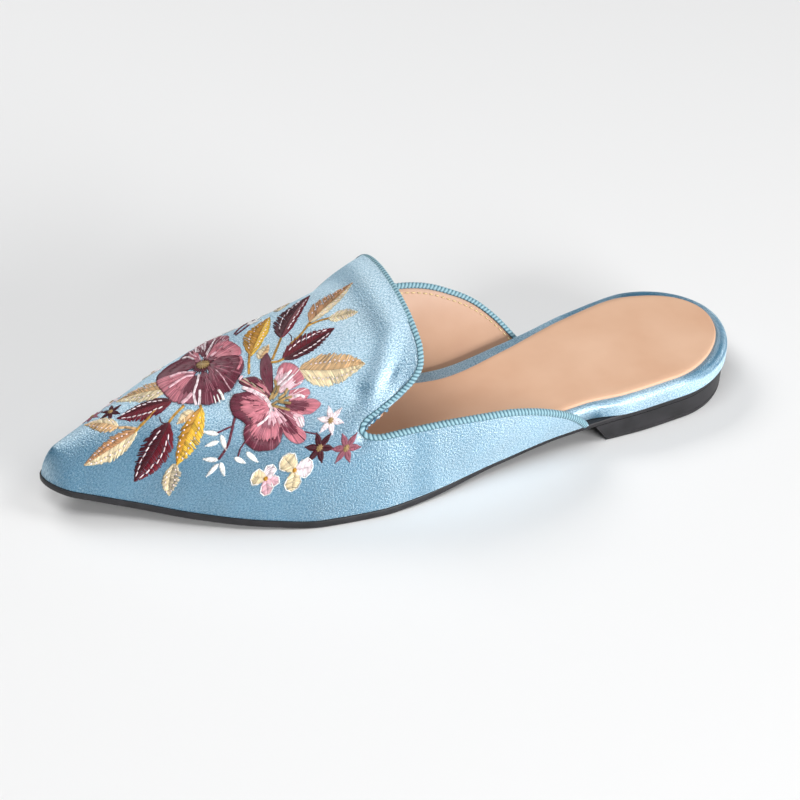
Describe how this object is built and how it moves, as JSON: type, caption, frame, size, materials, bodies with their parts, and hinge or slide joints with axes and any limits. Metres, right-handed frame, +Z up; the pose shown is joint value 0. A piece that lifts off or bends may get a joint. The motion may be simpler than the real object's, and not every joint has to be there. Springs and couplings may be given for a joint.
{
  "type": "babouche slipper",
  "caption": "Pointed backless slipper with a rounded tongue, low block heel, padded footbed, ribbon-bound topline and floral embroidery.",
  "frame": {"origin": "on the floor, under the middle of the slipper's bounding box", "axes": "+X to the toe, +Y to the outer side of the left foot, +Z up"},
  "size_m": [0.2692, 0.0872, 0.07],
  "materials": {
    "outsole": "matte black",
    "heel": "matte black",
    "footbed": "pale blue satin wrap",
    "insole": "smooth peach",
    "upper": "pale blue satin, peach leather lining",
    "binding": "ribbed ribbon"
  },
  "bodies": {
    "root": {"outsole": "outsole", "heel": "heel", "footbed": "footbed", "insole": "insole", "upper": "upper", "binding": "binding"}
  },
  "joints": []
}
